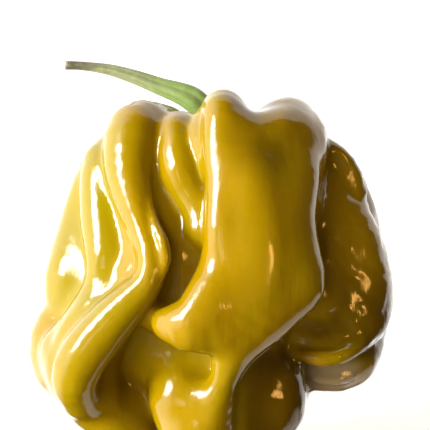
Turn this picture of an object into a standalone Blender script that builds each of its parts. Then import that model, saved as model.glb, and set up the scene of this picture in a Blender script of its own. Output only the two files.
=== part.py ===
"""A wrinkled mustard habanero chilli pepper: the pod and the green stalk that it hangs from.

The pod grew as one thing, a thin wall crumpled into folds, so it is one solid. Each fold is a round
bead of changing thickness run along a smooth path, and the pod's skin is the smooth union of the
beads and of the body under them. The stalk, with the calyx at its foot, is the second solid.

Places of folds are in millimetres in the pod's own frame: x to the right, y away from the front, z
along the pod from blossom end to stalk. The pod leans back by LEAN on three low lobes.
"""

import math

import bmesh
import bpy
import numpy as np
import openvdb
from mathutils import Matrix, Vector

MM = 0.001
GAP = 0.5                      # between the calyx and the bowl it sits in, before the skin is smoothed
LEAN = math.radians(10)        # how far the pod leans back on its low lobes
REST_DEPTH = 0.5               # how far the low lobes are pressed flat where the pod rests

CELL = 0.9                     # grid step of the skin
GRID_LOW, GRID_HIGH = (-27.0, -24.0, -4.0), (27.0, 22.0, 54.0)
MARGIN = 3.0                   # how far round the skin the distances are worked out
FAR = 9.0                      # the distance that stands for open air
FOLD_STEP = 1.5                # along a fold's path
SMOOTHING = 4                  # passes
POD_TRIANGLES = 8800
SKIN_COLOUR = (0.40, 0.27, 0.008)
SKIN_ROUGHNESS = 0.18

STALK_SIDES = 20
STALK_STEP = 1.3               # along the stalk's path
STALK_RIBS = 5
RIB_HEIGHT = 0.05              # as a share of the stalk's radius
CUT_BULGE = 0.12               # of the cut tip, as a share of the last step
STALK_COLOUR = (0.21, 0.33, 0.09)
STALK_ROUGHNESS = 0.5

# Each fold is (blend, [(x, y, z, radius), ...]) in millimetres.
FOLDS = {
    # the broad front flap, with its two cusps and its pointed nose
    "flap_left": (1.6, [
        (0.8, -6.0, 44.2, 2.8), (1.5, -12.6, 47.1, 3.2), (1.1, -15.0, 43.4, 2.6),
        (1.2, -16.6, 38.0, 2.3), (1.3, -18.0, 32.4, 2.4), (1.1, -17.4, 27.6, 2.7),
        (-0.6, -18.5, 23.4, 3.0), (-2.3, -18.8, 21.3, 2.8), (-5.5, -17.7, 20.6, 2.1)]),
    "flap_fold": (1.0, [
        (-0.4, -11.6, 46.8, 1.0), (-0.9, -13.4, 45.4, 1.0), (-1.1, -14.6, 43.8, 0.8),
        (-0.9, -15.4, 41.6, 0.6), (-0.8, -15.8, 39.6, 0.5)]),
    "flap_middle": (3.0, [
        (4.2, -14.2, 44.4, 2.8), (4.6, -16.2, 40.0, 3.4), (4.6, -16.9, 34.0, 3.6),
        (4.4, -17.0, 28.5, 3.8), (2.8, -17.0, 23.6, 3.8), (0.4, -17.8, 19.9, 2.9),
        (-2.6, -18.6, 19.3, 2.1)]),
    "flap_rim": (1.6, [
        (3.4, -14.2, 45.0, 1.8), (6.0, -12.9, 44.2, 2.4), (8.6, -12.9, 44.4, 2.9),
        (10.6, -12.2, 44.8, 3.1), (12.2, -10.8, 44.0, 3.0)]),
    "flap_inner": (3.0, [
        (8.2, -11.8, 44.6, 2.4), (8.0, -13.6, 41.8, 3.0), (7.8, -15.2, 38.0, 3.5),
        (7.6, -16.2, 32.0, 4.0), (7.6, -16.2, 27.0, 4.2), (6.0, -16.4, 22.4, 3.8),
        (3.0, -16.6, 18.6, 2.8)]),
    "flap_right": (2.0, [
        (11.2, -11.4, 43.6, 2.8), (10.9, -13.8, 39.6, 3.1), (10.4, -15.2, 34.0, 3.0),
        (10.9, -15.6, 29.0, 3.2), (11.4, -15.6, 25.4, 3.2), (8.8, -16.0, 22.2, 2.8),
        (4.6, -16.2, 18.4, 2.3), (2.0, -15.8, 14.6, 1.7)]),
    "neck": (1.4, [
        (2.2, -15.8, 14.8, 1.6), (1.2, -15.2, 11.6, 1.8), (-0.4, -12.8, 7.6, 3.4),
        (-1.3, -11.0, 3.8, 3.8)]),
    "right_cusp": (2.5, [
        (7.4, -8.8, 44.0, 3.0), (9.8, -8.6, 45.3, 4.0), (11.4, -8.6, 44.4, 3.8),
        (12.2, -9.4, 40.6, 3.0), (11.4, -10.6, 36.0, 3.0)]),
    "right_cusp_root": (2.0, [
        (3.8, -3.4, 42.8, 2.8), (7.0, -6.2, 44.6, 3.2), (10.2, -8.2, 45.8, 3.2)]),
    # the small lobe squeezed in between the flap and the big left ridge
    "inner_lobe": (0.5, [
        (-2.2, -4.4, 43.2, 2.2), (-4.4, -10.2, 45.6, 2.5), (-4.2, -11.9, 43.9, 2.7),
        (-4.0, -12.7, 42.0, 2.8), (-3.4, -13.3, 40.0, 2.7), (-2.2, -13.4, 37.2, 2.3),
        (-0.9, -14.3, 34.8, 2.5), (-0.6, -14.7, 32.5, 2.9)]),
    "flap_root": (2.5, [
        (-1.4, -8.6, 44.4, 2.0), (-1.4, -10.0, 41.0, 2.2), (-1.0, -10.8, 36.0, 2.4),
        (-0.8, -11.8, 30.0, 2.6)]),
    "flap_body": (3.0, [
        (7.0, -8.0, 39.0, 4.6), (7.0, -9.6, 30.0, 5.0), (5.0, -9.4, 22.0, 4.6),
        (2.6, -8.4, 14.0, 4.2)]),
    "valley_wall": (1.2, [
        (-7.4, -11.0, 39.4, 2.2), (-6.6, -12.0, 36.0, 2.6), (-5.6, -12.8, 32.4, 3.0),
        (-4.2, -12.9, 28.6, 2.8), (-3.9, -12.2, 25.2, 2.0)]),
    # the big left ridge: down from the shoulder, an elbow, and back out to the lower left
    "left_ridge": (0.9, [
        (-5.6, -4.0, 44.6, 3.1), (-9.6, -9.5, 44.9, 3.9), (-10.4, -12.2, 40.5, 3.4),
        (-9.8, -14.4, 36.5, 2.5), (-8.6, -16.2, 32.5, 1.8), (-7.6, -17.7, 28.9, 1.8),
        (-8.0, -17.8, 25.8, 2.0), (-10.5, -17.1, 23.0, 2.6), (-13.5, -16.4, 19.7, 3.1),
        (-16.2, -15.6, 16.2, 3.3), (-17.4, -14.2, 13.2, 3.1), (-16.4, -11.6, 10.8, 2.8)]),
    "ridge_flank": (0.8, [
        (-10.9, -12.0, 37.8, 2.5), (-10.4, -13.2, 33.6, 2.2), (-9.2, -14.8, 29.4, 2.2),
        (-9.6, -15.2, 26.4, 2.0)]),
    "arm_root": (2.0, [
        (-9.8, -12.8, 26.0, 3.0), (-12.6, -11.6, 21.6, 3.6), (-15.4, -10.2, 16.8, 3.8),
        (-15.4, -8.8, 12.8, 3.6)]),
    "arm_under": (2.0, [
        (-15.6, -9.4, 11.0, 3.0), (-13.2, -8.2, 8.0, 3.2), (-10.4, -6.6, 5.8, 3.4)]),
    "left_seam": (0.3, [
        (-9.5, -14.6, 42.0, 0.3), (-9.1, -15.0, 40.0, 0.5), (-8.6, -15.5, 38.0, 0.6),
        (-8.1, -16.3, 35.5, 0.8), (-7.3, -17.3, 33.0, 1.0), (-6.6, -18.1, 31.3, 1.1),
        (-6.1, -18.8, 29.3, 1.0), (-6.2, -18.6, 27.2, 0.8)]),
    "left_hollow": (1.4, [
        (-12.9, -7.6, 38.5, 2.6), (-12.7, -9.6, 34.0, 2.6), (-12.2, -11.4, 29.0, 2.8),
        (-12.4, -12.2, 25.0, 3.0)]),
    "left_body": (2.5, [
        (-12.0, -5.6, 37.0, 4.0), (-13.0, -6.4, 29.0, 4.6), (-14.2, -6.2, 21.0, 4.8),
        (-14.6, -3.6, 13.0, 4.4)]),
    "left_flank": (1.0, [
        (-7.6, -2.2, 42.6, 3.2), (-12.8, -5.5, 41.4, 3.4), (-14.4, -8.8, 38.4, 2.6),
        (-14.6, -10.4, 33.8, 2.9), (-13.9, -11.8, 29.0, 2.7), (-13.9, -12.8, 25.5, 2.3),
        (-16.4, -11.4, 21.5, 2.2), (-19.0, -9.0, 17.4, 2.6)]),
    "arm_shoulder": (1.0, [
        (-12.6, -13.2, 25.2, 2.0), (-14.8, -13.6, 22.4, 2.4), (-17.1, -12.6, 19.0, 2.6),
        (-18.4, -11.0, 15.8, 2.7)]),
    "left_outer": (1.5, [
        (-14.6, -3.5, 38.0, 3.6), (-16.1, -3.4, 32.8, 3.8), (-17.5, -5.4, 26.0, 4.2),
        (-18.1, -4.4, 21.8, 3.6), (-19.6, -3.8, 18.0, 4.1), (-19.3, -4.2, 14.4, 3.9),
        (-16.4, -4.4, 11.4, 3.5)]),
    "arm_heel": (2.5, [
        (-18.9, -8.4, 15.6, 2.8), (-18.0, -8.6, 12.8, 2.8), (-15.6, -8.0, 10.0, 2.8)]),
    "left_under": (1.6, [
        (-15.0, -4.2, 13.6, 4.6), (-13.6, -4.6, 10.2, 4.3), (-10.6, -3.4, 7.0, 4.4)]),
    # below the nose
    "nose_bowl": (1.2, [
        (-5.0, -9.0, 17.6, 3.3), (-4.6, -10.0, 14.0, 3.5), (-3.7, -10.5, 10.8, 4.4),
        (-2.0, -11.4, 6.0, 4.3), (-1.6, -10.4, 2.9, 4.2)]),
    "bowl_rim": (2.0, [
        (-3.4, -12.4, 10.7, 2.4), (-1.4, -13.6, 10.8, 2.1), (0.3, -14.2, 11.2, 1.9)]),
    "bowl_floor": (1.5, [
        (-0.6, -9.2, 18.0, 2.8), (-1.8, -10.2, 13.6, 2.7), (-1.6, -10.6, 6.0, 3.4)]),
    "nose_root": (1.5, [
        (-4.6, -12.0, 24.0, 2.4), (-6.8, -10.6, 20.4, 2.4), (-8.0, -7.6, 15.6, 3.0)]),
    "nose_back": (1.2, [
        (-2.6, -14.2, 20.6, 2.2), (-4.8, -14.8, 20.2, 2.1), (-7.2, -14.8, 21.4, 2.1),
        (-9.4, -14.6, 23.2, 2.1)]),
    "lower_right": (0.8, [
        (8.8, -5.4, 15.8, 3.6), (8.0, -7.8, 12.4, 4.3), (7.9, -7.2, 9.4, 4.4), (6.2, -4.0, 6.6, 4.2)]),
    "behind_neck": (1.5, [
        (5.2, -9.6, 16.4, 3.4), (4.4, -10.0, 12.6, 3.6), (3.8, -8.4, 7.6, 4.0)]),
    # the big right lobe, its curled lip, and the bulge under it
    "right_lobe": (2.0, [
        (8.6, -2.6, 41.6, 2.8), (12.6, -3.8, 42.6, 2.7), (15.2, -4.4, 41.7, 2.9),
        (17.0, -4.6, 38.7, 3.1), (17.5, -4.8, 35.6, 3.6), (18.0, -4.9, 31.6, 4.2),
        (18.8, -4.8, 27.0, 4.8), (18.5, -5.2, 21.6, 4.9)]),
    "right_side": (1.4, [
        (14.4, 1.2, 40.0, 4.0), (16.3, 2.0, 35.6, 4.4), (18.4, 2.4, 28.6, 4.7), (18.6, 2.2, 22.6, 4.4),
        (16.8, 3.0, 16.8, 4.0)]),
    "right_lip": (1.6, [
        (21.8, -3.2, 23.4, 2.0), (19.4, -6.4, 19.6, 2.2), (16.2, -8.0, 17.8, 2.3),
        (12.6, -8.0, 18.4, 2.3)]),
    "lip_rim": (0.6, [
        (22.9, -3.8, 23.4, 0.7), (21.8, -6.2, 20.9, 0.9), (20.0, -8.6, 18.3, 1.0),
        (17.6, -10.2, 16.5, 1.1), (15.0, -10.7, 15.8, 1.1), (12.6, -10.2, 16.0, 1.0),
        (10.4, -8.8, 16.9, 0.8)]),
    "right_under": (0.8, [
        (19.4, 1.0, 20.0, 3.9), (17.7, -0.8, 15.8, 4.4), (14.9, -1.0, 15.2, 4.2)]),
    "right_inner": (2.0, [
        (12.4, -5.4, 41.2, 2.6), (13.6, -7.0, 38.0, 3.2), (14.4, -8.0, 31.0, 3.4),
        (13.8, -8.4, 24.0, 3.8)]),
    # the folds of the back, from the right round to the left
    "back_right": (1.4, [
        (6.4, 2.8, 42.6, 3.4), (11.8, 6.0, 42.6, 4.2), (14.4, 9.4, 36.6, 5.0), (15.4, 10.6, 29.6, 5.4),
        (16.0, 8.8, 23.0, 5.2), (12.7, 8.2, 17.2, 4.5), (8.6, 8.0, 11.6, 4.0), (4.6, 4.4, 6.2, 3.6)]),
    "back_pinch": (1.4, [
        (9.2, 10.4, 40.8, 3.2), (11.0, 13.6, 34.0, 2.8), (8.8, 15.4, 28.0, 3.0),
        (5.6, 16.2, 22.4, 3.2)]),
    "back_mid_right": (1.4, [
        (3.6, 4.6, 43.0, 3.0), (5.4, 9.2, 43.8, 3.6), (5.6, 13.2, 38.2, 4.0), (4.4, 14.8, 32.0, 4.3),
        (6.4, 14.4, 24.0, 4.4), (9.2, 11.8, 18.6, 4.8), (7.6, 10.0, 11.6, 4.6)]),
    "back_middle": (1.4, [
        (-0.6, 5.0, 43.0, 2.8), (-1.8, 9.4, 44.2, 3.4), (-2.4, 13.8, 39.0, 3.4),
        (-3.8, 15.6, 33.0, 3.8), (-1.6, 16.0, 26.0, 4.0), (-0.2, 14.4, 19.0, 4.6),
        (1.0, 10.8, 12.0, 4.8), (0.8, 7.0, 7.0, 4.0)]),
    "back_mid_left": (1.4, [
        (-4.2, 3.4, 43.0, 3.0), (-8.2, 6.8, 43.4, 3.8), (-9.4, 11.2, 37.8, 4.2),
        (-10.8, 12.2, 31.0, 4.6), (-9.2, 13.0, 24.0, 4.8), (-8.4, 12.0, 16.4, 4.8),
        (-7.6, 10.0, 10.6, 4.6)]),
    "back_cross": (1.4, [
        (-15.8, 9.0, 31.4, 3.0), (-13.0, 13.0, 26.6, 2.8), (-9.4, 15.2, 21.2, 3.0),
        (-6.4, 14.8, 16.4, 2.8)]),
    "back_left": (1.4, [
        (-6.4, 0.8, 42.4, 3.2), (-12.0, 2.4, 41.4, 4.0), (-14.6, 5.4, 36.0, 4.8),
        (-15.6, 6.8, 29.0, 5.2), (-16.2, 5.4, 22.4, 5.2), (-16.4, 4.2, 16.0, 5.0),
        (-12.8, 5.8, 10.2, 4.6), (-6.0, 4.6, 6.0, 3.8)]),
    # the folds of the foot
    "foot_front": (1.5, [
        (-2.2, -10.2, 5.4, 3.8), (-1.9, -9.6, 2.4, 4.0)]),
    "foot_right": (1.6, [
        (8.0, -3.4, 8.6, 4.0), (8.0, 1.6, 7.8, 4.0), (7.6, 7.4, 7.2, 4.0), (7.6, 10.8, 5.8, 4.0)]),
    "foot_left": (1.6, [
        (-11.0, -4.6, 9.0, 4.4), (-11.0, 1.6, 8.0, 4.4), (-9.6, 7.0, 7.4, 4.2),
        (-8.8, 10.6, 5.8, 4.0)]),
}

# Each core is (blend, centre, half widths): the body that the folds lie on.
CORES = [
    (2.0, (-0.4, 1.2, 28.0), (16.5, 14.2, 17.0)),
    (3.0, (0.0, 2.0, 13.5), (14.0, 12.0, 9.5)),
    (3.0, (-1.0, -6.0, 25.0), (12.5, 8.5, 15.0)),
]

# The bowl on top of the pod that the calyx sits in.
BOWL_CENTRE, BOWL_HALF = (-0.4, 0.6, 48.6), (5.6, 5.6, 6.6)

# Each hollow is (blend, centre, half widths), cut out of the folds round it.
HOLLOWS = [
    (1.5, BOWL_CENTRE, BOWL_HALF),
    (2.0, (0.0, 1.5, 1.0), (4.4, 4.4, 5.0)),
]

# The calyx from the middle of its underside out over the rim and in to the stalk's foot:
# (radius, height over the bowl, depth of the five lobes).
CALYX_RINGS = [
    (1.4, 0.0, 0.0), (2.7, 0.0, 0.04), (3.7, 0.0, 0.14), (4.0, 0.35, 0.17), (3.7, 0.75, 0.14),
    (2.9, 1.0, 0.05), (2.3, 1.3, 0.0)]

# The stalk from the calyx up and over to its cut tip: (x, y, z, radius).
STALK_PATH = [
    (-0.4, 0.6, 44.4, 2.0), (-0.5, 0.6, 46.4, 1.75), (-1.1, 0.5, 48.4, 1.75), (-2.4, 0.3, 49.7, 1.7),
    (-4.2, 0.1, 50.4, 1.45), (-6.6, 0.0, 51.3, 1.15), (-9.8, -0.2, 52.6, 0.86), (-13.4, -0.4, 53.6, 0.62),
    (-17.0, -0.5, 54.0, 0.5), (-19.2, -0.6, 54.1, 0.56)]


def smooth_path(nodes, step):
    """A Catmull-Rom curve through the nodes, with a point about every step millimetres."""
    nodes = np.array(nodes, float)
    ends = np.vstack([2 * nodes[0] - nodes[1], nodes, 2 * nodes[-1] - nodes[-2]])
    points = []
    for a, b, c, d in zip(ends, ends[1:], ends[2:], ends[3:]):
        count = max(1, round(np.linalg.norm(c[:3] - b[:3]) / step))
        for t in np.arange(count) / count:
            points.append(0.5 * (2 * b + (c - a) * t + (2 * a - 5 * b + 4 * c - d) * t**2
                                 + (3 * b - a - 3 * c + d) * t**3))
    points.append(nodes[-1])
    return np.array(points)


def bead_distance(points, path):
    """Distance from each point to a bead whose radius changes along the path."""
    nearest = np.full(points.shape[:-1], 1e9, np.float32)
    for a, b in zip(path, path[1:]):
        along = b[:3] - a[:3]
        share = np.clip(((points - a[:3]) @ along) / (along @ along), 0, 1)
        gap = np.linalg.norm(points - (a[:3] + share[..., None] * along), axis=-1)
        np.minimum(nearest, gap - (a[3] + share * (b[3] - a[3])), out=nearest)
    return nearest


def egg_distance(points, centre, half):
    """Distance, near enough, from each point to an ellipsoid's surface."""
    scaled = np.linalg.norm((points - np.array(centre)) / np.array(half), axis=-1)
    return (scaled - 1) * min(half)


def smooth_min(a, b, blend):
    overlap = np.maximum(blend - np.abs(a - b), 0) / blend
    return np.minimum(a, b) - overlap**2 * blend / 4


def pod_mesh(cell):
    """(points, quads) of the pod's skin in millimetres, in the pod's own frame."""
    low, high = np.array(GRID_LOW), np.array(GRID_HIGH)
    counts = np.ceil((high - low) / cell).astype(int)
    axes = [low[i] + cell * np.arange(counts[i]) for i in range(3)]
    grid = np.stack(np.meshgrid(*axes, indexing="ij"), axis=-1).astype(np.float32)
    field = np.full(grid.shape[:-1], FAR, np.float32)
    for blend, centre, half in CORES:
        field = smooth_min(field, egg_distance(grid, centre, half), blend)
    for blend, nodes in FOLDS.values():
        path = smooth_path(nodes, FOLD_STEP)
        reach = path[:, 3:].max() + blend + MARGIN
        first = np.clip(np.floor((path[:, :3].min(0) - reach - low) / cell).astype(int), 0, counts)
        last = np.clip(np.ceil((path[:, :3].max(0) + reach - low) / cell).astype(int), 0, counts)
        window = tuple(slice(a, b) for a, b in zip(first, last))
        field[window] = smooth_min(field[window], bead_distance(grid[window], path), blend)
    for blend, centre, half in HOLLOWS:
        field = -smooth_min(-field, egg_distance(grid, centre, half), blend)
    volume = openvdb.FloatGrid(MARGIN)
    volume.copyFromArray(np.clip(field, -MARGIN, MARGIN))
    points, quads = volume.convertToQuads(isovalue=0.0)
    return points * cell + low, quads


def largest_shell(points, faces):
    """Only the outer skin: the biggest set of faces that hang together."""
    shell = list(range(len(points)))

    def root(i):
        while shell[i] != i:
            shell[i] = shell[shell[i]]
            i = shell[i]
        return i

    for face in faces.tolist():
        first = root(face[0])
        for other in face[1:]:
            shell[root(other)] = first
    roots = np.array([root(i) for i in range(len(points))])
    names, counts = np.unique(roots, return_counts=True)
    keep = roots == names[counts.argmax()]
    renumber = np.cumsum(keep) - 1
    return points[keep], renumber[faces[keep[faces[:, 0]]]]


def seated(point):
    """A point of the pod's own frame with the pod leant back, in metres."""
    return Matrix.Rotation(-LEAN, 3, "X") @ (Vector(point) * MM)


def finished(mesh, name, modifiers):
    """The mesh with the modifiers applied to it: (kind, settings) pairs."""
    thing = bpy.data.objects.new(name, mesh)
    bpy.context.scene.collection.objects.link(thing)
    for kind, settings in modifiers:
        modifier = thing.modifiers.new(kind.lower(), kind)
        for key, value in settings.items():
            setattr(modifier, key, value)
    bpy.context.view_layer.update()
    result = bpy.data.meshes.new_from_object(thing.evaluated_get(bpy.context.evaluated_depsgraph_get()))
    bpy.data.objects.remove(thing)
    return result


def make_pod():
    points, quads = largest_shell(*pod_mesh(CELL))
    mesh = bpy.data.meshes.new("pod")
    mesh.from_pydata([seated(p) for p in points.tolist()], [], quads.tolist())
    share = POD_TRIANGLES / (2 * len(quads))
    mesh = finished(mesh, "pod", [
        ("SMOOTH", {"factor": 0.5, "iterations": SMOOTHING}),
        ("DECIMATE", {"ratio": share, "use_collapse_triangulate": True})])
    floor = min(v.co.z for v in mesh.vertices) + REST_DEPTH * MM
    for vertex in mesh.vertices:
        vertex.co.z = max(vertex.co.z, floor)
    return mesh


def calyx_ring(radius, height, lobes):
    """A lobed ring that lies over the bowl, clear of it by GAP and by height."""
    ring = []
    for i in range(STALK_SIDES):
        turn = 2 * math.pi * i / STALK_SIDES
        reach = radius * (1 + lobes * math.cos(STALK_RIBS * turn))
        fall = math.sqrt(max(0.0, 1 - (reach / (BOWL_HALF[0] - GAP)) ** 2))
        ring.append((BOWL_CENTRE[0] + reach * math.cos(turn), BOWL_CENTRE[1] + reach * math.sin(turn),
                     BOWL_CENTRE[2] - (BOWL_HALF[2] - GAP) * fall + height))
    return ring


def stalk_ring(place, forward, side, radius):
    up = forward.cross(side).normalized()
    ring = []
    for i in range(STALK_SIDES):
        turn = 2 * math.pi * i / STALK_SIDES
        rib = 1 + RIB_HEIGHT * math.cos(STALK_RIBS * turn)
        ring.append(place + (side * math.cos(turn) + up * math.sin(turn)) * radius * rib)
    return ring


def make_stalk():
    rings = [calyx_ring(*ring) for ring in CALYX_RINGS]
    path = smooth_path(STALK_PATH, STALK_STEP)
    side = Vector((1, 0, 0))
    for i, point in enumerate(path):
        ahead, behind = path[min(i + 1, len(path) - 1)], path[max(i - 1, 0)]
        forward = Vector((ahead - behind)[:3].tolist()).normalized()
        side = (side - forward * side.dot(forward)).normalized()
        rings.append(stalk_ring(Vector(point[:3].tolist()), forward, side, float(point[3])))
    under = (BOWL_CENTRE[0], BOWL_CENTRE[1], BOWL_CENTRE[2] - BOWL_HALF[2] + GAP)
    tip = path[-1][:3] + CUT_BULGE * (path[-1] - path[-2])[:3]
    points = [under] + [p for ring in rings for p in ring] + [tuple(tip.tolist())]
    faces = []
    for i in range(STALK_SIDES):
        j = (i + 1) % STALK_SIDES
        faces.append((0, 1 + j, 1 + i))
        for k in range(len(rings) - 1):
            a, b = 1 + k * STALK_SIDES, 1 + (k + 1) * STALK_SIDES
            faces.append((a + i, a + j, b + j, b + i))
        last = 1 + (len(rings) - 1) * STALK_SIDES
        faces.append((last + i, last + j, len(points) - 1))
    mesh = bpy.data.meshes.new("stalk")
    mesh.from_pydata([seated(p) for p in points], [], faces)
    return mesh


def add_part(name, mesh, colour, roughness, shift):
    mesh.transform(Matrix.Translation(shift))
    mesh.shade_smooth()
    material = bpy.data.materials.new(name)
    material.use_nodes = True
    shader = material.node_tree.nodes["Principled BSDF"]
    shader.inputs["Base Color"].default_value = (*colour, 1)
    shader.inputs["Roughness"].default_value = roughness
    shader.inputs["Metallic"].default_value = 0
    mesh.materials.clear()
    mesh.materials.append(material)
    bpy.context.scene.collection.objects.link(bpy.data.objects.new(name, mesh))


def main():
    for thing in list(bpy.data.objects):
        bpy.data.objects.remove(thing)
    pod, stalk = make_pod(), make_stalk()
    places = np.array([v.co for mesh in (pod, stalk) for v in mesh.vertices])
    low, high = places.min(0), places.max(0)
    shift = Vector((-(low[0] + high[0]) / 2, -(low[1] + high[1]) / 2, -low[2]))
    print("shift in millimetres", [round(v / MM, 3) for v in shift])
    add_part("pod", pod, SKIN_COLOUR, SKIN_ROUGHNESS, shift)
    add_part("stalk", stalk, STALK_COLOUR, STALK_ROUGHNESS, shift)


if __name__ == "__main__":
    main()
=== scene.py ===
"""The chilli pepper: the fine skin of the pod, the stalk with its calyx, the studio and the camera."""

import math

import bpy
import numpy as np
import openvdb
from mathutils import Matrix, Vector, noise as pattern


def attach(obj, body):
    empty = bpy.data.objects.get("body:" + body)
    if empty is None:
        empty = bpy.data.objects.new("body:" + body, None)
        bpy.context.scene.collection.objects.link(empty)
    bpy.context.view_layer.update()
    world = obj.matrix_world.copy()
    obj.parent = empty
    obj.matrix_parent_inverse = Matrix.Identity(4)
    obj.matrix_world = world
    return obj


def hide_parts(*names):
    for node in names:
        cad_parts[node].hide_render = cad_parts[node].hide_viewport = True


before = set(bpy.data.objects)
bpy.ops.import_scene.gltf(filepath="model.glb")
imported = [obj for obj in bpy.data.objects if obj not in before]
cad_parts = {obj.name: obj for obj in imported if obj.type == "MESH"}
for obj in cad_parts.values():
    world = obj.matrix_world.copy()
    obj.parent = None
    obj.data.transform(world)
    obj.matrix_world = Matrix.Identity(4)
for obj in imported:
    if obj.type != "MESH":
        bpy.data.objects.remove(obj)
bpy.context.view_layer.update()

MM = 0.001
LEAN = math.radians(10)
SHIFT = (-0.091, -3.511, -0.473)     # from the leant pod's frame to the row's frame, in millimetres
CELL = 0.4
GRID_LOW, GRID_HIGH = (-27.0, -24.0, -4.0), (27.0, 22.0, 54.0)
FAR = 9.0                            # the distance that the grid starts with
MARGIN = 3.0                         # how far round the skin the distances are worked out
PATH_STEP = 1.5
SMOOTH_PASSES = 4
GAP = 0.5                            # between the calyx and the bowl it sits in
STALK_SIDES = 60
STALK_STEP = 0.4
STALK_RIBS, RIB_HEIGHT = 5, 0.07
RIB_EDGE = 0.4                       # how much narrower a rib is than a plain wave
RIB_START, RIB_TWIST = 0.5, 0.5      # in radians, the second over the stalk's whole length
TIP_RINGS = (0.8, 0.45)              # the rings that close the stalk's cut tip, as shares of its radius
# The crinkles of the skin: (depth, size) in millimetres.
CRINKLE_ALL, CRINKLE_BROAD, CRINKLE_FINE = (0.02, 1.6), (0.18, 2.4), (0.09, 1.0)
CRINKLE_STRETCH = 0.35               # those all over the skin run down the pod
CRINKLE_SLANT = (0.6, -0.2)          # those of the right lobe run across it
CRINKLED_LOBE = [(11.5, 14.5), (-13.0, -11.0), (12.0, 20.0)]    # (start, full) along x, y and z
DIM = (0.07, 0.04, 0.015)            # the studio's light from where it has no wall
# Each wall of the studio: its direction, where its light starts and is full, its colour.
SHEEN_WALLS = [    # what the gloss shows
    ((0.15, 0.92, 0.45), 0.40, 0.46, (2.2, 2.15, 2.05)),       # behind and above
    ((-1.0, 0.35, 0.25), 0.32, 0.85, (2.9, 2.9, 2.9)),         # at the left
    ((0.62, 0.25, -0.74), 0.90, 0.95, (1.8, 1.65, 1.4)),       # the table, at the lower right
]
GLOW_WALLS = [     # what lights the skin itself
    ((0.0, 0.9, 0.5), 0.30, 0.90, (0.5, 0.48, 0.45)),          # behind and above
    ((0.80, 0.60, 0.10), 0.40, 0.95, (1.1, 0.9, 0.7)),         # behind, at the right
    ((-0.80, -0.55, -0.25), 0.30, 0.95, (2.6, 2.25, 1.8)),     # in front, at the lower left
]
# Where the skin is greener, or painted darker for shade or paler for a reflection: (colour, share,
# [(axis, (where it starts, where it is full)), ...]), in millimetres from the upright part's middle.
TONES_AND_PAINTED_LIGHT = [
    # painted shade on the right lobe's foot and lip, in the flap's shadow
    ((0.09, 0.05, 0.0005), 0.75, [
        ("X", (10.0, 14.0)), ("Y", (-15.0, -13.0)), ("Z", (29.0, 20.5)), ("Z", (13.5, 15.5))]),
    # painted shade on the lobe at the lower right, behind the neck
    ((0.07, 0.035, 0.0005), 0.80, [
        ("X", (3.0, 5.0)), ("X", (14.0, 11.5)), ("Y", (-18.5, -16.5)), ("Z", (18.0, 14.5))]),
    # the left side
    ((0.225, 0.18, 0.0005), 0.60, [("X", (-10.0, -13.5)), ("Z", (18.0, 22.0))]),
    # painted shade on the flap's top
    ((0.12, 0.065, 0.0005), 0.50, [
        ("X", (0.5, 3.5)), ("X", (13.0, 10.0)), ("Y", (-11.0, -13.0)), ("Z", (36.5, 41.5)),
        ("Z", (50.0, 47.0))]),
    # painted shade in the hollow under the left ridge's arm
    ((0.12, 0.06, 0.0005), 0.55, [
        ("X", (-15.5, -13.0)), ("X", (-5.5, -8.0)), ("Y", (-14.0, -11.5)), ("Z", (22.0, 18.0)),
        ("Z", (3.0, 6.0))]),
    # painted reflection of the pale floor on the bulge under the right lobe's lip
    ((0.40, 0.33, 0.22), 0.75, [
        ("X", (11.5, 13.0)), ("X", (20.5, 18.0)), ("Y", (-10.0, -8.5)), ("Z", (14.8, 13.2)),
        ("Z", (9.0, 10.0))]),
]

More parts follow.
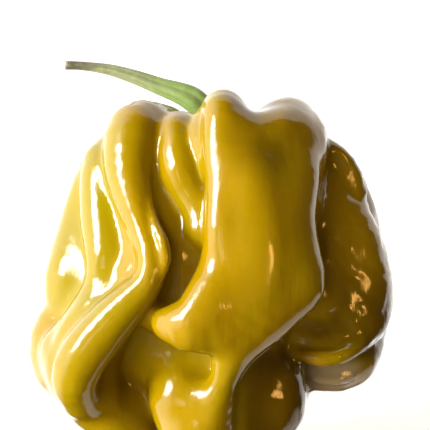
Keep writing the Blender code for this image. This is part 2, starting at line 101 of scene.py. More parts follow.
# Each fold is (blend, [(x, y, z, radius), ...]) in millimetres.
FOLDS = {
    # the broad front flap, with its two cusps and its pointed nose
    "flap_left": (1.6, [
        (0.8, -6.0, 44.2, 2.8), (1.5, -10.6, 47.0, 3.1), (1.5, -13.6, 47.4, 2.6), (0.9, -15.6, 43.4, 2.1),
        (0.95, -17.0, 38.2, 1.6), (1.05, -18.4, 32.6, 1.8), (1.0, -17.6, 27.6, 2.5),
        (-0.6, -18.5, 23.4, 3.0), (-2.3, -18.8, 21.3, 2.8), (-5.5, -17.7, 20.6, 2.1)]),
    "flap_fold": (1.0, [
        (-1.0, -11.6, 46.6, 1.2), (-1.6, -13.2, 45.2, 1.2), (-1.7, -14.2, 43.8, 1.0),
        (-1.1, -15.2, 41.6, 0.7), (-0.6, -15.8, 39.6, 0.5)]),
    "flap_middle": (3.0, [
        (4.2, -14.2, 44.4, 2.8), (4.6, -16.2, 40.0, 3.4), (4.6, -16.9, 34.0, 3.6),
        (4.4, -17.0, 28.5, 3.8), (2.8, -17.0, 23.6, 3.8), (0.4, -17.8, 19.9, 2.9),
        (-2.6, -18.6, 19.3, 2.1)]),
    "flap_rim": (1.8, [
        (3.4, -14.4, 44.8, 1.8), (5.8, -14.0, 43.8, 2.6), (8.4, -13.2, 44.2, 2.9), (10.4, -12.2, 44.8, 3.0),
        (11.7, -10.9, 44.1, 2.8)]),
    "flap_inner": (3.0, [
        (8.2, -12.6, 44.6, 2.4), (8.0, -13.4, 41.8, 3.0), (7.8, -15.0, 38.0, 3.5), (7.6, -16.2, 32.0, 4.0),
        (7.6, -16.2, 27.0, 4.2), (6.0, -16.4, 22.4, 3.8), (3.0, -16.6, 18.6, 2.8)]),
    "flap_right": (2.0, [
        (11.2, -11.4, 43.6, 2.8), (10.9, -13.8, 39.6, 3.1), (10.4, -15.2, 34.0, 3.0),
        (10.9, -15.6, 29.0, 3.2), (11.4, -15.6, 25.4, 3.2), (8.8, -16.0, 22.2, 2.8),
        (4.6, -16.2, 18.4, 2.3), (2.0, -15.8, 14.6, 1.7)]),
    "neck": (1.4, [
        (2.2, -15.8, 14.8, 1.6), (1.2, -15.2, 11.6, 1.8), (-0.4, -12.8, 7.6, 3.4),
        (-1.3, -11.0, 3.8, 3.8)]),
    "right_cusp": (2.5, [
        (7.4, -8.8, 44.0, 3.0), (9.7, -8.6, 45.3, 4.0), (10.9, -8.6, 44.6, 3.6), (11.6, -9.4, 40.6, 3.0),
        (11.2, -10.6, 36.0, 3.0)]),
    "right_cusp_root": (2.0, [
        (3.8, -3.4, 42.8, 2.8), (7.0, -6.2, 44.6, 3.2), (10.2, -8.2, 45.8, 3.2)]),
    # the small lobe squeezed in between the flap and the big left ridge
    "inner_lobe": (0.5, [
        (-2.2, -4.4, 43.0, 2.2), (-4.4, -9.6, 45.3, 2.5), (-4.3, -10.9, 44.7, 2.65),
        (-4.2, -11.6, 43.4, 2.8), (-4.1, -12.3, 41.8, 2.95), (-3.7, -13.1, 39.9, 2.95),
        (-2.6, -13.5, 37.2, 2.6), (-1.2, -14.2, 34.8, 2.5), (-0.8, -14.6, 32.5, 2.8)]),
    "flap_root": (2.5, [
        (-1.8, -9.2, 44.4, 2.2), (-1.6, -10.8, 41.0, 2.5), (-1.0, -11.6, 36.0, 2.6),
        (-0.8, -11.8, 30.0, 2.6)]),
    "flap_body": (3.0, [
        (7.0, -8.0, 39.0, 4.6), (7.0, -9.6, 30.0, 5.0), (5.0, -9.4, 22.0, 4.6),
        (2.6, -8.4, 14.0, 4.2)]),
    "valley_wall": (1.2, [
        (-7.4, -11.0, 39.4, 2.2), (-6.6, -12.0, 36.0, 2.6), (-5.6, -12.8, 32.4, 3.0),
        (-4.2, -12.9, 28.6, 2.8), (-3.9, -12.2, 25.2, 2.0)]),
    # the big left ridge: down from the shoulder, an elbow, and back out to the lower left
    "left_ridge": (0.9, [
        (-5.2, -3.6, 45.2, 3.1), (-7.0, -6.2, 45.7, 3.2), (-9.6, -9.5, 44.9, 3.9),
        (-10.4, -12.2, 40.5, 3.4), (-9.8, -14.4, 36.5, 2.5), (-8.6, -16.2, 32.5, 1.8),
        (-7.6, -17.7, 28.9, 1.8), (-8.0, -17.8, 25.8, 2.0), (-10.5, -17.1, 23.0, 2.6),
        (-13.5, -16.4, 19.7, 3.1), (-16.2, -15.7, 16.2, 3.3), (-17.3, -14.9, 13.5, 3.1),
        (-16.6, -12.0, 10.9, 2.8)]),
    "ridge_flank": (0.8, [
        (-10.7, -12.1, 37.8, 2.3), (-9.7, -13.6, 33.6, 1.9), (-8.9, -15.0, 29.4, 2.0),
        (-9.6, -15.2, 26.4, 2.0)]),
    "arm_root": (2.0, [
        (-9.8, -12.8, 26.0, 3.0), (-12.6, -11.6, 21.6, 3.6), (-15.4, -10.2, 16.8, 3.8),
        (-15.4, -8.8, 12.8, 3.6)]),
    "arm_under": (2.0, [
        (-15.6, -9.4, 11.0, 3.0), (-13.2, -8.2, 8.0, 3.2), (-10.4, -6.6, 5.8, 3.4)]),
    "left_seam": (0.3, [
        (-9.5, -14.6, 42.0, 0.3), (-8.8, -15.0, 39.8, 0.4), (-8.0, -15.6, 37.1, 0.5),
        (-7.5, -16.6, 34.8, 0.55), (-6.9, -17.6, 32.8, 0.7), (-6.05, -18.7, 30.8, 0.85),
        (-5.7, -19.0, 28.3, 0.75), (-6.5, -18.5, 26.0, 0.5)]),
    "left_hollow": (0.8, [
        (-12.0, -9.3, 38.5, 2.0), (-11.3, -11.3, 34.0, 2.2), (-10.6, -13.3, 29.0, 2.2),
        (-11.6, -13.4, 25.0, 2.6)]),
    "left_body": (2.5, [
        (-12.0, -5.6, 37.0, 4.0), (-13.0, -6.4, 29.0, 4.6), (-14.2, -6.2, 21.0, 4.8),
        (-14.6, -3.6, 13.0, 4.4)]),
    "left_flank": (1.0, [
        (-7.6, -2.2, 42.6, 3.2), (-12.8, -6.2, 42.0, 2.9), (-14.3, -8.1, 39.6, 2.6),
        (-14.1, -10.1, 34.1, 2.8), (-13.5, -12.2, 29.2, 2.7), (-13.9, -12.8, 25.5, 2.3),
        (-16.4, -11.4, 21.5, 2.2), (-19.0, -9.0, 17.4, 2.6)]),
    "left_face": (0.8, [(-13.6, -8.5, 39.6, 2.5), (-13.4, -10.5, 34.1, 2.7), (-12.8, -12.5, 29.4, 2.5)]),
    "arm_shoulder": (1.0, [
        (-12.6, -13.2, 25.2, 2.0), (-14.8, -13.6, 22.4, 2.4), (-17.1, -12.6, 19.0, 2.6),
        (-18.4, -11.0, 15.8, 2.7)]),
    "left_outer": (1.5, [
        (-14.6, -3.5, 38.0, 3.6), (-16.1, -3.4, 32.8, 3.8), (-17.5, -5.4, 26.0, 4.2),
        (-18.1, -4.4, 21.8, 3.6), (-19.6, -3.8, 18.0, 4.1), (-19.3, -4.2, 14.4, 3.9),
        (-16.4, -4.4, 11.4, 3.5)]),
    "arm_heel": (2.5, [
        (-18.9, -8.4, 15.6, 2.8), (-18.0, -8.6, 12.8, 2.8), (-15.6, -8.0, 10.0, 2.8)]),
    "left_under": (1.6, [
        (-15.0, -4.2, 13.6, 4.6), (-13.6, -4.6, 10.2, 4.3), (-10.6, -3.4, 7.0, 4.4)]),
    # below the nose
    "nose_bowl": (1.2, [
        (-5.0, -9.0, 17.6, 3.3), (-4.6, -10.0, 14.0, 3.5), (-3.7, -10.5, 10.8, 4.4),
        (-2.0, -11.4, 6.0, 4.3), (-1.6, -10.4, 2.9, 4.2)]),
    "bowl_rim": (2.0, [
        (-3.4, -12.4, 10.7, 2.4), (-1.4, -13.6, 10.8, 2.1), (0.3, -14.2, 11.2, 1.9)]),
    "bowl_brow": (0.6, [
        (-4.6, -11.3, 11.9, 3.0), (-4.8, -11.65, 10.5, 3.0), (-4.05, -12.05, 10.5, 3.0),
        (-3.85, -11.7, 11.9, 3.0)]),
    "bowl_floor": (1.5, [
        (-0.6, -9.2, 18.0, 2.8), (-1.8, -10.2, 13.6, 2.7), (-1.6, -10.6, 6.0, 3.4)]),
    "nose_root": (1.5, [
        (-4.6, -12.0, 24.0, 2.4), (-6.8, -10.6, 20.4, 2.4), (-8.0, -7.6, 15.6, 3.0)]),
    "nose_back": (1.2, [
        (-2.6, -14.2, 20.6, 2.2), (-4.8, -14.8, 20.2, 2.1), (-7.2, -14.8, 21.4, 2.1),
        (-9.4, -14.6, 23.2, 2.1)]),
    "lower_right": (0.8, [
        (8.8, -5.4, 15.8, 3.6), (8.0, -7.8, 12.4, 4.3), (7.9, -7.2, 9.4, 4.4), (6.2, -4.0, 6.6, 4.2)]),
    "behind_neck": (1.5, [
        (5.2, -9.6, 16.4, 3.4), (4.4, -10.0, 12.6, 3.6), (3.8, -8.4, 7.6, 4.0)]),
    # the big right lobe, its curled lip, and the bulge under it
    "right_lobe": (1.6, [
        (8.6, -2.6, 41.6, 2.8), (12.6, -3.8, 42.2, 2.7), (15.0, -4.4, 41.3, 2.9), (16.4, -4.8, 38.7, 3.0),
        (16.9, -5.4, 36.0, 3.2), (17.6, -5.8, 32.4, 4.0), (18.7, -5.0, 27.0, 4.8),
        (18.5, -5.2, 21.6, 4.9)]),
    "right_shoulder": (1.2, [
        (12.2, -6.6, 43.6, 1.1), (14.6, -7.4, 43.3, 1.1), (16.8, -7.4, 42.0, 1.2), (18.2, -7.0, 40.0, 1.2),
        (19.2, -6.6, 37.6, 1.0)]),
    "right_side": (1.4, [
        (14.9, 1.0, 40.2, 4.0), (16.9, 1.4, 36.4, 4.3), (18.4, 2.2, 28.6, 4.7), (18.6, 2.2, 22.6, 4.4),
        (16.8, 3.0, 16.8, 4.0)]),
    "right_lip": (1.6, [
        (21.8, -3.2, 23.4, 2.0), (19.4, -6.4, 19.6, 2.2), (16.2, -8.0, 17.8, 2.3),
        (12.6, -8.0, 18.4, 2.3)]),
    "lip_rim": (0.6, [
        (22.9, -3.8, 23.4, 0.7), (21.8, -6.2, 20.9, 0.9), (20.0, -8.6, 18.3, 1.0),
        (17.6, -10.2, 16.5, 1.1), (15.0, -10.7, 15.8, 1.1), (12.6, -10.2, 16.0, 1.0),
        (10.4, -8.8, 16.9, 0.8)]),
    "right_under": (0.8, [
        (19.4, 1.0, 20.0, 3.9), (17.7, -0.8, 15.8, 4.4), (14.9, -1.0, 15.2, 4.2)]),
    "right_inner": (2.0, [
        (12.6, -4.6, 42.8, 2.4), (14.0, -5.4, 39.6, 2.9), (14.6, -6.6, 35.4, 3.2), (14.6, -7.6, 30.6, 3.4),
        (13.8, -8.4, 24.0, 3.8)]),
    # the folds of the back, from the right round to the left
    "back_right": (1.4, [
        (6.4, 2.8, 42.6, 3.4), (11.8, 6.0, 42.6, 4.2), (14.4, 9.4, 36.6, 5.0), (15.4, 10.6, 29.6, 5.4),
        (16.0, 8.8, 23.0, 5.2), (12.7, 8.2, 17.2, 4.5), (8.6, 8.0, 11.6, 4.0), (4.6, 4.4, 6.2, 3.6)]),
    "back_pinch": (1.4, [
        (9.2, 10.4, 40.8, 3.2), (11.0, 13.6, 34.0, 2.8), (8.8, 15.4, 28.0, 3.0),
        (5.6, 16.2, 22.4, 3.2)]),
    "back_mid_right": (1.4, [
        (3.6, 4.6, 43.0, 3.0), (5.4, 9.2, 43.8, 3.6), (5.6, 13.2, 38.2, 4.0), (4.4, 14.8, 32.0, 4.3),
        (6.4, 14.4, 24.0, 4.4), (9.2, 11.8, 18.6, 4.8), (7.6, 10.0, 11.6, 4.6)]),
    "back_middle": (1.4, [
        (-0.6, 5.0, 43.0, 2.8), (-1.8, 9.4, 44.2, 3.4), (-2.4, 13.8, 39.0, 3.4),
        (-3.8, 15.6, 33.0, 3.8), (-1.6, 16.0, 26.0, 4.0), (-0.2, 14.4, 19.0, 4.6),
        (1.0, 10.8, 12.0, 4.8), (0.8, 7.0, 7.0, 4.0)]),
    "back_mid_left": (1.4, [
        (-4.2, 3.4, 43.0, 3.0), (-8.2, 6.8, 43.4, 3.8), (-9.4, 11.2, 37.8, 4.2),
        (-10.8, 12.2, 31.0, 4.6), (-9.2, 13.0, 24.0, 4.8), (-8.4, 12.0, 16.4, 4.8),
        (-7.6, 10.0, 10.6, 4.6)]),
    "back_cross": (1.4, [
        (-15.8, 9.0, 31.4, 3.0), (-13.0, 13.0, 26.6, 2.8), (-9.4, 15.2, 21.2, 3.0),
        (-6.4, 14.8, 16.4, 2.8)]),
    "back_left": (1.4, [
        (-6.4, 0.8, 42.4, 3.2), (-12.0, 2.4, 41.4, 4.0), (-14.6, 5.4, 36.0, 4.8),
        (-15.6, 6.8, 29.0, 5.2), (-16.2, 5.4, 22.4, 5.2), (-16.4, 4.2, 16.0, 5.0),
        (-12.8, 5.8, 10.2, 4.6), (-6.0, 4.6, 6.0, 3.8)]),
    # the folds of the foot
    "foot_front": (1.5, [
        (-2.2, -10.2, 5.4, 3.8), (-1.9, -9.6, 2.4, 4.0)]),
    "foot_right": (1.6, [
        (8.0, -3.4, 8.6, 4.0), (8.0, 1.6, 7.8, 4.0), (7.6, 7.4, 7.2, 4.0), (7.6, 10.8, 5.8, 4.0)]),
    "foot_left": (1.6, [
        (-11.0, -4.6, 9.0, 4.4), (-11.0, 1.6, 8.0, 4.4), (-9.6, 7.0, 7.4, 4.2),
        (-8.8, 10.6, 5.8, 4.0)]),
}

# Each core is (blend, centre, half widths): the body that the folds lie on.
CORES = [
    (2.0, (-0.4, 1.2, 28.0), (16.5, 14.2, 17.0)),
    (3.0, (0.0, 2.0, 13.5), (14.0, 12.0, 9.5)),
    (3.0, (-1.0, -6.0, 25.0), (12.5, 8.5, 15.0)),
]

# The bowl on top of the pod that the calyx sits in.
BOWL_CENTRE, BOWL_HALF = (-0.4, 0.6, 48.6), (5.6, 5.6, 6.6)

# Each hollow is (blend, centre, half widths), cut out of the folds round it.
HOLLOWS = [
    (1.5, BOWL_CENTRE, BOWL_HALF),
    (2.0, (0.0, 1.5, 1.0), (4.4, 4.4, 5.0)),
]

# Wrinkles too fine for the part: (blend, [(x, y, z, radius), ...]).
WRINKLES = [
    (0.8, [
        (12.4, -4.0, 14.0, 0.5), (13.8, -4.8, 12.9, 0.6), (16.0, -4.9, 12.6, 0.6), (18.4, -4.4, 13.2, 0.5)]),
]

# The calyx from the middle of its underside out over the rim and in to the stalk's foot:
# (radius, height over the bowl, depth of the five lobes).
CALYX_RINGS = [
    (0.7, 0.0, 0.0), (1.4, 0.0, 0.0), (2.1, 0.0, 0.02), (2.7, 0.0, 0.04), (3.2, 0.0, 0.09), (3.7, 0.0, 0.14),
    (3.95, 0.12, 0.17), (4.0, 0.35, 0.17), (3.9, 0.58, 0.16), (3.7, 0.75, 0.14), (3.3, 0.88, 0.10),
    (2.9, 1.0, 0.05), (2.6, 1.12, 0.02), (2.3, 1.3, 0.0)]

# The stalk from the calyx up and over to its cut tip: (x, y, z, radius).
STALK_PATH = [
    (-0.4, 0.6, 44.4, 2.05), (-0.45, 0.6, 46.4, 1.75), (-1.1, 0.5, 48.4, 1.65), (-2.5, 0.3, 49.75, 1.6),
    (-4.4, 0.1, 50.6, 1.36), (-6.7, 0.0, 51.35, 1.12), (-9.6, -0.2, 52.4, 0.92), (-13.2, -0.4, 53.45, 0.70),
    (-16.8, -0.5, 53.95, 0.54), (-19.2, -0.6, 54.05, 0.55)]


def smooth_path(nodes, step):
    """A Catmull-Rom curve through the nodes, with a point about every step millimetres."""
    nodes = np.array(nodes, float)
    ends = np.vstack([2 * nodes[0] - nodes[1], nodes, 2 * nodes[-1] - nodes[-2]])
    points = []
    for a, b, c, d in zip(ends, ends[1:], ends[2:], ends[3:]):
        count = max(1, round(np.linalg.norm(c[:3] - b[:3]) / step))
        for t in np.arange(count) / count:
            points.append(0.5 * (2 * b + (c - a) * t + (2 * a - 5 * b + 4 * c - d) * t**2
                                 + (3 * b - a - 3 * c + d) * t**3))
    points.append(nodes[-1])
    return np.array(points)


def bead_distance(points, path):
    """Distance from each point to a bead whose radius changes along the path."""
    nearest = np.full(points.shape[:-1], 1e9, np.float32)
    for a, b in zip(path, path[1:]):
        along = b[:3] - a[:3]
        share = np.clip(((points - a[:3]) @ along) / (along @ along), 0, 1)
        gap = np.linalg.norm(points - (a[:3] + share[..., None] * along), axis=-1)
        np.minimum(nearest, gap - (a[3] + share * (b[3] - a[3])), out=nearest)
    return nearest


def egg_distance(points, centre, half):
    """Distance, near enough, from each point to an ellipsoid's surface."""
    scaled = np.linalg.norm((points - np.array(centre)) / np.array(half), axis=-1)
    return (scaled - 1) * min(half)


def smooth_min(a, b, blend):
    """The smaller of the two, rounded over where they are less than blend apart."""
    overlap = np.maximum(blend - np.abs(a - b), 0) / blend
    return np.minimum(a, b) - overlap**2 * blend / 4


def pod_mesh(cell):
    """(points, quads) of the pod's skin in millimetres, in the pod's own frame."""
    low = np.array(GRID_LOW)
    counts = np.ceil((np.array(GRID_HIGH) - low) / cell).astype(int)
    axes = [low[i] + cell * np.arange(counts[i]) for i in range(3)]
    grid = np.stack(np.meshgrid(*axes, indexing="ij"), axis=-1).astype(np.float32)
    field = np.full(grid.shape[:-1], FAR, np.float32)
    for blend, centre, half in CORES:
        field = smooth_min(field, egg_distance(grid, centre, half), blend)
    for blend, nodes in [*FOLDS.values(), *WRINKLES]:
        path = smooth_path(nodes, PATH_STEP)
        reach = path[:, 3:].max() + blend + MARGIN
        first = np.clip(np.floor((path[:, :3].min(0) - reach - low) / cell).astype(int), 0, counts)
        last = np.clip(np.ceil((path[:, :3].max(0) + reach - low) / cell).astype(int), 0, counts)
        window = tuple(slice(a, b) for a, b in zip(first, last))
        field[window] = smooth_min(field[window], bead_distance(grid[window], path), blend)
    for blend, centre, half in HOLLOWS:
        field = -smooth_min(-field, egg_distance(grid, centre, half), blend)
    volume = openvdb.FloatGrid(MARGIN)
    volume.copyFromArray(np.clip(field, -MARGIN, MARGIN))
    points, quads = volume.convertToQuads(isovalue=0.0)
    return points * cell + low, quads


def largest_shell(points, faces):
    """Only the outer skin: the biggest set of faces that hang together."""
    shell = list(range(len(points)))

    def root(i):
        while shell[i] != i:
            shell[i] = shell[shell[i]]
            i = shell[i]
        return i

    for face in faces.tolist():
        first = root(face[0])
        for other in face[1:]:
            shell[root(other)] = first
    roots = np.array([root(i) for i in range(len(points))])
    names, counts = np.unique(roots, return_counts=True)
    keep = roots == names[counts.argmax()]
    renumber = np.cumsum(keep) - 1
    return points[keep], renumber[faces[keep[faces[:, 0]]]]


def to_row(matrix):
    """The matrix of a thing in the pod's own frame, in metres, as it stands in the row's frame."""
    return Matrix.Translation(Vector(SHIFT) * MM) @ Matrix.Rotation(-LEAN, 4, "X") @ matrix


def node(tree, kind, **settings):
    made = tree.nodes.new(kind)
    for key, value in settings.items():
        setattr(made, key, value)
    return made


def new_material(name, colour, roughness):
    material = bpy.data.materials.new(name)
    material.use_nodes = True
    shader = material.node_tree.nodes["Principled BSDF"]
    shader.inputs["Base Color"].default_value = (*colour, 1)
    shader.inputs["Roughness"].default_value = roughness
    return material, material.node_tree, shader


def noise(tree, coordinates, scale, detail=3.0, roughness=0.5):
    made = node(tree, "ShaderNodeTexNoise")
    for name, number in [("Scale", scale), ("Detail", detail), ("Roughness", roughness)]:
        made.inputs[name].default_value = number
    tree.links.new(coordinates, made.inputs["Vector"])
    return made.outputs["Fac"]


def spread(tree, value, low, high, to_low=0.0, to_high=1.0):
    """The value eased from to_low at low to to_high at high."""
    made = node(tree, "ShaderNodeMapRange", interpolation_type="SMOOTHSTEP")
    for name, number in [("From Min", low), ("From Max", high), ("To Min", to_low), ("To Max", to_high)]:
        made.inputs[name].default_value = number
    tree.links.new(value, made.inputs["Value"])
    return made.outputs["Result"]


def blended(tree, share, a, b):
    """Colour a turning into colour b; either is a colour or a socket."""
    made = node(tree, "ShaderNodeMix", data_type="RGBA")
    for socket, colour in [(made.inputs[6], a), (made.inputs[7], b)]:
        if isinstance(colour, tuple):
            socket.default_value = (*colour, 1)
        else:
            tree.links.new(colour, socket)
    tree.links.new(share, made.inputs[0])
    return made.outputs[2]


def sum_of(tree, a, b, factor):
    """a + factor * b."""
    made = node(tree, "ShaderNodeMath", operation="MULTIPLY_ADD")
    tree.links.new(b, made.inputs[0])
    made.inputs[1].default_value = factor
    tree.links.new(a, made.inputs[2])
    return made.outputs[0]


def product(tree, a, b):
    """a * b; b is a number or a socket."""
    made = node(tree, "ShaderNodeMath", operation="MULTIPLY")
    tree.links.new(a, made.inputs[0])
    if isinstance(b, float):
        made.inputs[1].default_value = b
    else:
        tree.links.new(b, made.inputs[1])
    return made.outputs[0]


def add_bump(tree, shader, height, strength, distance):
    bump = node(tree, "ShaderNodeBump")
    bump.inputs["Strength"].default_value = strength
    bump.inputs["Distance"].default_value = distance
    tree.links.new(height, bump.inputs["Height"])
    tree.links.new(bump.outputs[0], shader.inputs["Normal"])


def turned(tree, coordinates, scale=(1, 1, 1)):
    """The coordinates of the part stood upright, out of its lean."""
    made = node(tree, "ShaderNodeMapping")
    made.inputs["Rotation"].default_value = (LEAN, 0, 0)
    made.inputs["Scale"].default_value = scale
    tree.links.new(coordinates, made.inputs["Vector"])
    return made.outputs[0]


def split(tree, coordinates):
    made = node(tree, "ShaderNodeSeparateXYZ")
    tree.links.new(coordinates, made.inputs[0])
    return made.outputs


def skin_material():
    """Waxy skin: soft patches of two mustards, a browner grain that runs down it, a greener left side, and
    patches of painted shade and a painted reflection.
    """
    material, tree, shader = new_material("pepper skin", (0.40, 0.27, 0.003), 0.15)
    where = node(tree, "ShaderNodeTexCoord").outputs["Object"]
    along = turned(tree, where, scale=(1, 1, 0.14))
    patches = spread(tree, noise(tree, where, 95, 2), 0.35, 0.68)
    grain = spread(tree, noise(tree, along, 190, 3), 0.38, 0.70, 0.0, 0.5)
    colour = blended(tree, patches, (0.265, 0.165, 0.0005), (0.235, 0.165, 0.0005))
    colour = blended(tree, grain, colour, (0.26, 0.15, 0.0005))
    upright = split(tree, turned(tree, where))
    # painted shade, a painted reflection and a greener tone, each laid over the skin's colour inside its box
    for tone_or_painted_light, share, edges in TONES_AND_PAINTED_LIGHT:
        for axis, (start, full) in edges:
            share = product(tree, spread(tree, upright[axis], start * MM, full * MM), share)
        colour = blended(tree, share, colour, tone_or_painted_light)
    tree.links.new(colour, shader.inputs["Base Color"])
    gloss = spread(tree, noise(tree, along, 420, 4), 0.35, 0.75, 0.11, 0.20)
    tree.links.new(gloss, shader.inputs["Roughness"])
    shader.inputs["IOR"].default_value = 1.48
    shader.inputs["Subsurface Weight"].default_value = 0.08
    shader.inputs["Subsurface Radius"].default_value = (1.0, 0.7, 0.08)
    shader.inputs["Subsurface Scale"].default_value = 0.0016
    height = noise(tree, where, 230, 2)
    height = sum_of(tree, height, noise(tree, along, 900, 4, 0.6), 0.30)
    height = sum_of(tree, height, noise(tree, where, 1500, 3, 0.6), 0.05)
    add_bump(tree, shader, height, 0.5, 0.3 * MM)
    return material


def stalk_material():
    """Green and fibrous by the calyx, paler along the stalk, brown and dry at the cut tip."""
    material, tree, shader = new_material("stalk", (0.24, 0.36, 0.10), 0.45)
    where = node(tree, "ShaderNodeTexCoord").outputs["Object"]
    across = split(tree, where)["X"]
    age = spread(tree, across, -3.0 * MM, -12.5 * MM)
    old = spread(tree, across, -11.5 * MM, -18.5 * MM)
    fibres = noise(tree, where, 900, 3)
    colour = blended(tree, age, (0.19, 0.29, 0.085), (0.23, 0.25, 0.15))
    colour = blended(tree, old, colour, (0.10, 0.09, 0.065))
    colour = blended(tree, spread(tree, fibres, 0.4, 0.7, 0, 0.35), colour, (0.36, 0.44, 0.20))
    tree.links.new(colour, shader.inputs["Base Color"])
    shader.inputs["Subsurface Weight"].default_value = 0.2
    shader.inputs["Subsurface Radius"].default_value = (0.6, 1.0, 0.3)
    shader.inputs["Subsurface Scale"].default_value = 0.001
    add_bump(tree, shader, fibres, 0.35, 0.2 * MM)
    return material


def eased(value, low, high):
    """0 at low and 1 at high, with soft ends."""
    share = min(max((value - low) / (high - low), 0), 1)
    return share * share * (3 - 2 * share)


def crinkle(mesh):
    """Presses the fine crinkles of the skin into the mesh; they are strongest on the right lobe."""
    back = to_row(Matrix.Identity(4)).inverted()
    moves = []
    for vertex in mesh.vertices:
        x, y, z = place = back @ vertex.co / MM
        on_lobe = math.prod(eased(value, *edges) for value, edges in zip(place, CRINKLED_LOBE))
        depth, size = CRINKLE_ALL
        depth *= pattern.noise(Vector((x, y, CRINKLE_STRETCH * z)) / size)
        slanted = Vector((x + CRINKLE_SLANT[0] * z, y, z + CRINKLE_SLANT[1] * x))
        for most, size in (CRINKLE_BROAD, CRINKLE_FINE):
            depth += on_lobe * most * pattern.noise(slanted / size)
        moves.append(vertex.co + vertex.normal * depth * MM)
    for vertex, moved in zip(mesh.vertices, moves):
        vertex.co = moved


def make_pod():
    """The pod's skin, smoothed, crinkled and pressed flat where it stands."""
    points, quads = largest_shell(*pod_mesh(CELL))
    mesh = bpy.data.meshes.new("pod_skin")
    mesh.from_pydata((points * MM).tolist(), [], quads.tolist())
    mesh.transform(to_row(Matrix.Identity(4)))
    pod = bpy.data.objects.new("pod_skin", mesh)
    bpy.context.scene.collection.objects.link(pod)
    smooth = pod.modifiers.new("smooth", "SMOOTH")
    smooth.factor = 0.5
    smooth.iterations = SMOOTH_PASSES
    bpy.context.view_layer.update()
    settled = bpy.data.meshes.new_from_object(pod.evaluated_get(bpy.context.evaluated_depsgraph_get()))
    pod.modifiers.clear()
    pod.data = settled
    crinkle(settled)
    for vertex in settled.vertices:
        vertex.co.z = max(vertex.co.z, 0)
    settled.shade_smooth()
    settled.materials.clear()
    settled.materials.append(skin_material())
    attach(pod, "root")
    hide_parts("pod")


def calyx_ring(radius, height, lobes):
    """A lobed ring that lies over the bowl, clear of it by GAP and by height."""
    ring = []
    for i in range(STALK_SIDES):
        turn = 2 * math.pi * i / STALK_SIDES
        reach = radius * (1 + lobes * math.cos(STALK_RIBS * turn))
        fall = math.sqrt(max(0.0, 1 - (reach / (BOWL_HALF[0] - GAP)) ** 2))
        ring.append((BOWL_CENTRE[0] + reach * math.cos(turn), BOWL_CENTRE[1] + reach * math.sin(turn),
                     BOWL_CENTRE[2] - (BOWL_HALF[2] - GAP) * fall + height))
    return ring


def stalk_ring(place, forward, side, radius, share):
    """A ring of the stalk: five blunt ribs that turn a little on their way to the tip."""
    up = forward.cross(side).normalized()
    ring = []
    for i in range(STALK_SIDES):
        turn = 2 * math.pi * i / STALK_SIDES
        wave = math.cos(STALK_RIBS * (turn - RIB_START - RIB_TWIST * share))
        rib = 1 + RIB_HEIGHT * wave + RIB_EDGE * RIB_HEIGHT * wave**3
        ring.append(place + (side * math.cos(turn) + up * math.sin(turn)) * radius * rib)
    return ring


def make_stalk():
    """One closed skin: the calyx from the middle of its underside, then the stalk to its cut tip."""
    rings = [calyx_ring(*ring) for ring in CALYX_RINGS]
    path = smooth_path(STALK_PATH, STALK_STEP)
    side = Vector((1, 0, 0))
    for i, point in enumerate(path):
        ahead, behind = path[min(i + 1, len(path) - 1)], path[max(i - 1, 0)]
        forward = Vector((ahead - behind)[:3].tolist()).normalized()
        side = (side - forward * side.dot(forward)).normalized()
        rings.append(stalk_ring(Vector(point[:3].tolist()), forward, side, float(point[3]), i / len(path)))
    tip = Vector(path[-1][:3].tolist())
    for share in TIP_RINGS:
        rings.append([tip + (p - tip) * share for p in rings[-1]])
    under = (BOWL_CENTRE[0], BOWL_CENTRE[1], BOWL_CENTRE[2] - BOWL_HALF[2] + GAP)
    points = [under] + [p for ring in rings for p in ring] + [tip]
    faces = []
    for i in range(STALK_SIDES):
        j = (i + 1) % STALK_SIDES
        faces.append((0, 1 + j, 1 + i))
        for k in range(len(rings) - 1):
            a, b = 1 + k * STALK_SIDES, 1 + (k + 1) * STALK_SIDES
            faces.append((a + i, a + j, b + j, b + i))
        last = 1 + (len(rings) - 1) * STALK_SIDES
        faces.append((last + i, last + j, len(points) - 1))
    mesh = bpy.data.meshes.new("stalk_skin")
    mesh.from_pydata([Vector(p) * MM for p in points], [], faces)
    mesh.transform(to_row(Matrix.Identity(4)))
    mesh.shade_smooth()
    mesh.materials.append(stalk_material())
    stalk = bpy.data.objects.new("stalk_skin", mesh)
    bpy.context.scene.collection.objects.link(stalk)
    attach(stalk, "root")
    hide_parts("stalk")


def area_light(name, azimuth, elevation, distance, size, power, colour,
               glossy_only=False, diffuse_only=False):
    """A soft light aimed at the pod; azimuth is to the left of the camera's side, in degrees."""
    a, e = math.radians(azimuth), math.radians(elevation)
    target = Vector((0, 0, 0.028))
    offset = Vector((-math.sin(a) * math.cos(e), -math.cos(a) * math.cos(e), math.sin(e)))
    light = bpy.data.lights.new(name, "AREA")
    light.shape = "RECTANGLE"
    light.size, light.size_y = size
    light.energy = power
    light.color = colour
    lamp = bpy.data.objects.new(name, light)
    lamp.location = target + offset * distance
    lamp.rotation_euler = offset.to_track_quat("Z", "Y").to_euler()
    lamp.visible_diffuse = not glossy_only
    lamp.visible_glossy = not diffuse_only
    bpy.context.scene.collection.objects.link(lamp)


def walls(tree, where, places):
    """The light that comes from each side: dim, but for the walls."""
    light = DIM
    for direction, low, high, colour in places:
        facing = node(tree, "ShaderNodeVectorMath", operation="DOT_PRODUCT")
        tree.links.new(where, facing.inputs[0])
        facing.inputs[1].default_value = Vector(direction).normalized()
        light = blended(tree, spread(tree, facing.outputs["Value"], low, high), light, colour)
    return light


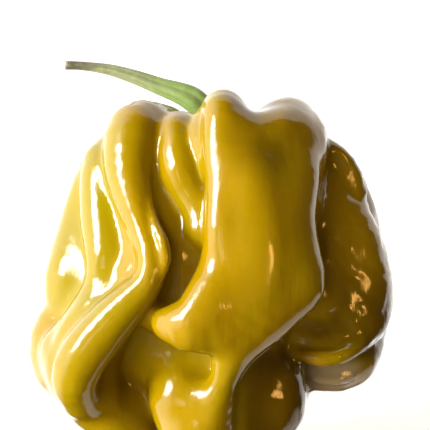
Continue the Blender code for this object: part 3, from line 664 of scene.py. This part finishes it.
def make_world():
    """White behind; the gloss sees bright walls behind, above and at the left, the skin a softer glow."""
    world = bpy.data.worlds.new("studio")
    bpy.context.scene.world = world
    world.use_nodes = True
    tree = world.node_tree
    backdrop = tree.nodes["Background"]
    where = node(tree, "ShaderNodeTexCoord").outputs["Generated"]
    path = node(tree, "ShaderNodeLightPath")
    light = blended(tree, path.outputs["Is Glossy Ray"], walls(tree, where, GLOW_WALLS),
                    walls(tree, where, SHEEN_WALLS))
    light = blended(tree, path.outputs["Is Camera Ray"], light, (1.0, 1.0, 1.0))
    tree.links.new(light, backdrop.inputs["Color"])
    backdrop.inputs["Strength"].default_value = 1.0


def make_floor():
    """A plain pale floor, white enough to run into the white behind."""
    half = 2.0
    mesh = bpy.data.meshes.new("floor")
    corners = [(-half, -half, 0), (half, -half, 0), (half, half, 0), (-half, half, 0)]
    mesh.from_pydata(corners, [], [(0, 1, 2, 3)])
    floor = bpy.data.objects.new("floor", mesh)
    bpy.context.scene.collection.objects.link(floor)
    material, _, shader = new_material("floor", (0.93, 0.92, 0.91), 0.6)
    shader.inputs["Emission Color"].default_value = (1, 1, 1, 1)
    shader.inputs["Emission Strength"].default_value = 0.5
    mesh.materials.append(material)
    floor.visible_glossy = False
    floor.visible_diffuse = False


def make_camera():
    """At the photograph's angle; the picture is width metres wide at the pod's middle."""
    distance, width = 0.450, 0.05676
    middle, height = 0.53 * MM, 34.3 * MM
    data = bpy.data.cameras.new("camera")
    data.sensor_width = 36
    data.lens = 36 * distance / width
    camera = bpy.data.objects.new("camera", data)
    place = Matrix.Translation((middle, -distance, height)) @ Matrix.Rotation(math.radians(90), 4, "X")
    camera.matrix_world = to_row(place)
    bpy.context.scene.collection.objects.link(camera)
    bpy.context.scene.camera = camera


make_pod()
make_stalk()
make_world()
make_floor()
make_camera()
area_light("key", 62, 30, 0.50, (0.16, 0.24), 4.6, (1.0, 0.98, 0.95), glossy_only=True)
area_light("key glow", 60, 10, 0.50, (0.12, 0.20), 3.2, (1.0, 0.98, 0.93), diffuse_only=True)
area_light("left wash", 66, 2, 0.50, (0.40, 0.24), 4.0, (0.93, 1.0, 0.93), diffuse_only=True)
area_light("fill", 26, 24, 0.45, (0.20, 0.20), 0.60, (1.0, 0.80, 0.6), diffuse_only=True)
area_light("front glint", 28, 9, 0.50, (0.07, 0.12), 0.09, (1.0, 0.92, 0.75), glossy_only=True)
area_light("warm glint", -28, 8, 0.40, (0.05, 0.09), 0.30, (1.0, 0.5, 0.12), glossy_only=True)
bpy.context.scene.view_settings.view_transform = "Standard"
